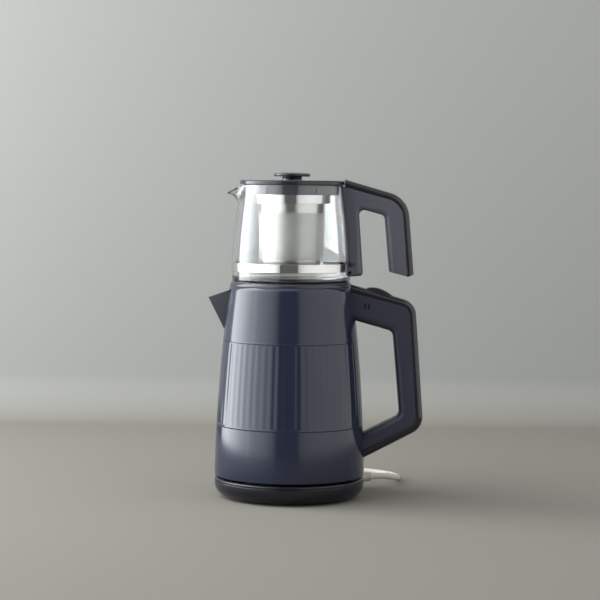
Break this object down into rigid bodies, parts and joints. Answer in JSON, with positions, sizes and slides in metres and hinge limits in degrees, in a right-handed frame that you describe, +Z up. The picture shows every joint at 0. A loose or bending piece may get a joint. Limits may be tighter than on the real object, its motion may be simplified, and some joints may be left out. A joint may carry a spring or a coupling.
{
  "type": "automatic tea maker",
  "caption": "Tiered electric tea maker: a fluted cordless kettle on a round power base, carrying a glass teapot with a handle, lid and hanging steel strainer.",
  "frame": {"origin": "on the standing surface, under the middle of the whole object without its mains lead", "axes": "+X towards the handles, -X towards the spouts, +Z up; the round tiers share one upright axis at X = -26.4 mm"},
  "size_m": [0.2223, 0.2719, 0.3353],
  "materials": {
    "base_gloss": "dark grey-black moulded polypropylene, glossy",
    "base_matt": "dark grey moulded polypropylene, fine grain",
    "rubber_foot": "moulded rubber",
    "contact_brass": "stamped brass",
    "steel_screw": "zinc-plated steel",
    "cord_pvc": "pale warm-grey flexible PVC",
    "wire_pvc": "PVC wire insulation",
    "pin_brass": "turned brass",
    "casing_gloss": "near-black moulded polypropylene with a blue-grey sheen, glossy",
    "vessel_steel": "drawn stainless steel, brushed inside",
    "collar_gloss": "near-black moulded polypropylene, glossy",
    "silicone": "moulded silicone",
    "spout_satin": "near-black moulded polypropylene, satin",
    "screen_steel": "perforated stainless sheet",
    "heater_aluminium": "pressed aluminium",
    "element_steel": "sheathed heating tube",
    "bimetal": "bimetal strip",
    "under_matt": "near-black moulded polypropylene, fine grain",
    "coupler_matt": "pale heat-resistant polyamide",
    "handle_satin": "dark grey moulded polypropylene, satin",
    "spine_gloss": "black moulded polypropylene, glossy",
    "lens_clear": "moulded polycarbonate light guide",
    "board_green": "glass-epoxy circuit board",
    "led_clear": "epoxy-cast indicator lamp",
    "switch_matt": "pale moulded polyamide switch case",
    "rocker_gloss": "black moulded polypropylene, glossy",
    "jug_glass": "clear blown borosilicate glass",
    "band_steel": "polished stainless strap",
    "tea_handle_satin": "dark grey moulded polypropylene, satin",
    "lid_gloss": "black moulded polypropylene, glossy",
    "skirt_satin": "dark grey moulded polypropylene, satin",
    "basket_steel": "finely perforated stainless steel"
  },
  "bodies": {
    "power_base": {"base_cover": "base_gloss", "base_bottom_plate": "base_matt", "base_feet": "rubber_foot", "base_socket": "base_matt", "base_contacts": "contact_brass", "base_screws": "steel_screw", "base_wires": "wire_pvc", "cord_strain_relief": "cord_pvc", "cord_lead": "cord_pvc", "cord_tail": "cord_pvc", "cord_coil": "cord_pvc", "mains_plug": "cord_pvc", "plug_pins": "pin_brass"},
    "kettle": {"kettle_body": "casing_gloss", "water_vessel": "vessel_steel", "kettle_rim_collar": "collar_gloss", "vessel_seal": "silicone", "kettle_spout": "spout_satin", "spout_filter": "screen_steel", "heater_plate": "heater_aluminium", "heating_element": "element_steel", "bimetal_discs": "bimetal", "kettle_bottom_cover": "under_matt", "kettle_coupler": "coupler_matt", "coupler_pins": "pin_brass", "kettle_bottom_screws": "steel_screw", "kettle_handle_shell": "handle_satin", "kettle_handle_spine": "spine_gloss", "indicator_lenses": "lens_clear", "indicator_board": "board_green", "indicator_leds": "led_clear", "switch_body": "switch_matt", "handle_wires": "wire_pvc", "rocker_pin": "steel_screw", "kettle_handle_screws": "steel_screw"},
    "rocker": {"switch_rocker": "rocker_gloss"},
    "teapot": {"teapot_glass": "jug_glass", "teapot_band": "band_steel", "teapot_handle_shell": "tea_handle_satin", "teapot_handle_spine": "spine_gloss", "teapot_band_screw": "steel_screw", "teapot_rim_clip": "band_steel"},
    "lid": {"lid_disc": "lid_gloss", "lid_skirt": "skirt_satin", "lid_knob": "lid_gloss", "lid_knob_screw": "steel_screw"},
    "strainer": {"strainer_neck": "basket_steel", "strainer_basket": "basket_steel", "strainer_floor": "basket_steel"}
  },
  "joints": [
    {"name": "kettle_lift", "type": "slide", "parent": "power_base", "child": "kettle", "axis": [0, 0, 1], "range_m": [0, 0.06]},
    {"name": "teapot_lift", "type": "slide", "parent": "kettle", "child": "teapot", "axis": [0, 0, 1], "range_m": [0, 0.06]},
    {"name": "lid_lift", "type": "slide", "parent": "teapot", "child": "lid", "axis": [0, 0, 1], "range_m": [0, 0.1]},
    {"name": "strainer_twist", "type": "hinge", "parent": "lid", "child": "strainer", "pos_m": [-0.0264, 0, 0.3], "axis": [0, 0, 1], "range_deg": [0, 50]},
    {"name": "rocker_press", "type": "hinge", "parent": "kettle", "child": "rocker", "pos_m": [0.0656, 0, 0.2078], "axis": [0, 1, 0], "range_deg": [0, 8]}
  ]
}
